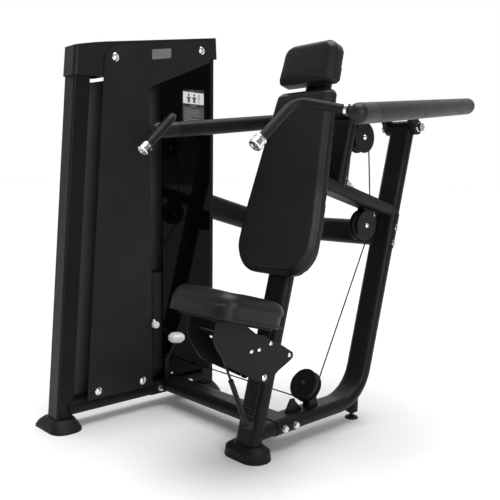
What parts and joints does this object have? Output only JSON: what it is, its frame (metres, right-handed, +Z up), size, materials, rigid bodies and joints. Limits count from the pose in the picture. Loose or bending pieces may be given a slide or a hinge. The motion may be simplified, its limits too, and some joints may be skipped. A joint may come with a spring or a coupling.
{
  "type": "shoulder press machine",
  "caption": "Selectorised seated shoulder press: pivoting overhead press arms with angled grips, cable and pulleys to a shrouded weight tower, sliding seat and sloping back pad.",
  "frame": {"origin": "on the floor, in the middle of the seat post's front foot", "axes": "+Z up, -Y the way the user faces, -X towards the weight tower"},
  "size_m": [1.2145, 1.257, 1.488],
  "materials": {
    "frame_paint": "satin black powder coat with a fine texture",
    "panel_paint": "satin dark grey powder coat",
    "chrome": "bright chrome plate",
    "steel": "zinc plated steel",
    "vinyl": "black upholstery vinyl with a fine grain",
    "board": "black moulded backing board",
    "cable_sheath": "black nylon sheath over steel cable",
    "pulley_plastic": "black moulded nylon",
    "rubber": "black moulded rubber",
    "grip": "black foam rubber grip",
    "cap_plastic": "black moulded plastic, satin",
    "acrylic": "dark tinted polished acrylic",
    "placard_print": null,
    "plate_metal": "blank brushed plate",
    "stack_iron": "black painted cast iron",
    "rack_steel": "dull plated steel",
    "strut_paint": "black painted steel tube",
    "white_plastic": "glossy white plastic knob on a steel stem"
  },
  "bodies": {
    "frame": {"base_tube": "frame_paint", "seat_post": "frame_paint", "diagonal_brace": "frame_paint", "stop_post": "frame_paint", "mid_brace": "frame_paint", "floor_cross_tube": "frame_paint", "joint_saddles": "frame_paint", "frame_joint_bolts": "chrome", "tower_uprights": "frame_paint", "tower_base_rail": "frame_paint", "tower_top_beam": "frame_paint", "tower_cap": "cap_plastic", "side_panels": "panel_paint", "shield": "acrylic", "panel_screws": "chrome", "placard": "placard_print", "name_plate": "plate_metal", "foot_boots": "rubber", "levelling_foot": "rubber", "rubber_buffers": "rubber", "seat_rack": "rack_steel", "back_pad": "vinyl", "headrest": "vinyl", "pad_boards": "board", "frame_pulley_brackets": "frame_paint", "frame_pulley_bolts": "chrome", "cable_anchor": "steel", "cable_main": "cable_sheath", "cable_anchor_strand": "cable_sheath", "cable_pull_strand": "cable_sheath", "pivot_housing": "frame_paint", "guide_rods": "chrome", "resting_plates": "stack_iron"},
    "press_arms": {"arm_tubes": "frame_paint", "arm_end_caps": "cap_plastic", "arm_cross_tubes": "frame_paint", "handle_bars": "frame_paint", "handle_grips": "grip", "handle_chrome": "chrome", "pivot_shaft": "chrome", "upper_pulley_bracket": "frame_paint", "cable_upper_wrap": "cable_sheath"},
    "upper_pulley": {"upper_pulley": "pulley_plastic"},
    "lower_pulley": {"lower_pulley": "pulley_plastic"},
    "floor_pulley": {"floor_pulley": "pulley_plastic"},
    "tower_bottom_pulley": {"tower_bottom_pulley": "pulley_plastic"},
    "tower_top_rear_pulley": {"tower_top_rear_pulley": "pulley_plastic"},
    "tower_top_front_pulley": {"tower_top_front_pulley": "pulley_plastic"},
    "lifted_stack": {"lifted_plates": "stack_iron", "stack_head": "stack_iron", "cable_stack_strand": "cable_sheath"},
    "selector_pin": {"selector_pin": "white_plastic"},
    "seat_carriage": {"seat_carriage": "frame_paint", "carriage_bolts": "chrome", "carriage_rollers": "pulley_plastic", "seat_pad": "vinyl"},
    "seat_lever": {"seat_lever": "rack_steel"},
    "strut_cylinder": {"strut_cylinder": "strut_paint"},
    "strut_rod": {"strut_rod": "chrome"},
    "increment_lever": {"increment_lever": "white_plastic"}
  },
  "joints": [
    {"name": "press_hinge", "type": "hinge", "parent": "frame", "child": "press_arms", "pos_m": [0, 0.833, 1.12], "axis": [-1, 0, 0], "range_deg": [0, 32], "deforming": ["cable_anchor_strand", "cable_pull_strand"]},
    {"name": "stack_slide", "type": "slide", "parent": "frame", "child": "lifted_stack", "axis": [0, 0, 1], "range_m": [0, 0.295], "deforming": ["cable_stack_strand"]},
    {"name": "upper_pulley_spin", "type": "hinge", "parent": "press_arms", "child": "upper_pulley", "pos_m": [0, 0.562, 1.069], "axis": [1, 0, 0], "range_deg": [0, 178]},
    {"name": "lower_pulley_spin", "type": "hinge", "parent": "frame", "child": "lower_pulley", "pos_m": [0, 0.588, 0.742], "axis": [1, 0, 0], "range_deg": [0, 350]},
    {"name": "floor_pulley_spin", "type": "hinge", "parent": "frame", "child": "floor_pulley", "pos_m": [0, 0.28022, 0.18221], "axis": [0, -0.8376, 0.5463], "range_deg": [0, 350]},
    {"name": "bottom_pulley_spin", "type": "hinge", "parent": "frame", "child": "tower_bottom_pulley", "pos_m": [-0.646, 0.254, 0.174], "axis": [0, -1, 0], "range_deg": [0, 525]},
    {"name": "rear_top_pulley_spin", "type": "hinge", "parent": "frame", "child": "tower_top_rear_pulley", "pos_m": [-0.644, 0.222, 1.322], "axis": [-1, 0, 0], "range_deg": [0, 525]},
    {"name": "front_top_pulley_spin", "type": "hinge", "parent": "frame", "child": "tower_top_front_pulley", "pos_m": [-0.644, 0.076, 1.322], "axis": [-1, 0, 0], "range_deg": [0, 525]},
    {"name": "pin_slide", "type": "slide", "parent": "lifted_stack", "child": "selector_pin", "axis": [1, 0, 0], "range_m": [0, 0.08]},
    {"name": "seat_slide", "type": "slide", "parent": "frame", "child": "seat_carriage", "axis": [0, 0.2588, 0.9659], "range_m": [-0.09, 0.03]},
    {"name": "seat_lever_hinge", "type": "hinge", "parent": "seat_carriage", "child": "seat_lever", "pos_m": [0, -0.04601, 0.37201], "axis": [-1, 0, 0], "range_deg": [0, 8], "stiffness_Nm_per_rad": 8, "springref_deg": -5.73},
    {"name": "strut_hinge", "type": "hinge", "parent": "frame", "child": "strut_cylinder", "pos_m": [0.042, -0.04495, 0.12482], "axis": [-1, 0, 0], "range_deg": [-14, 5]},
    {"name": "strut_slide", "type": "slide", "parent": "strut_cylinder", "child": "strut_rod", "axis": [0, -0.3868, 0.9222], "range_m": [-0.07, 0.025]},
    {"name": "increment_hinge", "type": "hinge", "parent": "frame", "child": "increment_lever", "pos_m": [-0.59, 0.107, 0.2], "axis": [1, 0, 0], "range_deg": [-20, 20]}
  ],
  "couplings": [
    {"joint": "stack_slide", "follows": "press_hinge", "m_per_rad": 0.52},
    {"joint": "upper_pulley_spin", "follows": "press_hinge", "ratio": 5.42},
    {"joint": "lower_pulley_spin", "follows": "press_hinge", "ratio": 10.83},
    {"joint": "floor_pulley_spin", "follows": "press_hinge", "ratio": 10.83},
    {"joint": "bottom_pulley_spin", "follows": "press_hinge", "ratio": 16.25},
    {"joint": "rear_top_pulley_spin", "follows": "press_hinge", "ratio": 16.25},
    {"joint": "front_top_pulley_spin", "follows": "press_hinge", "ratio": 16.25},
    {"joint": "strut_hinge", "follows": "seat_slide", "rad_per_m": 2.6},
    {"joint": "strut_slide", "follows": "seat_slide", "ratio": 0.72}
  ]
}
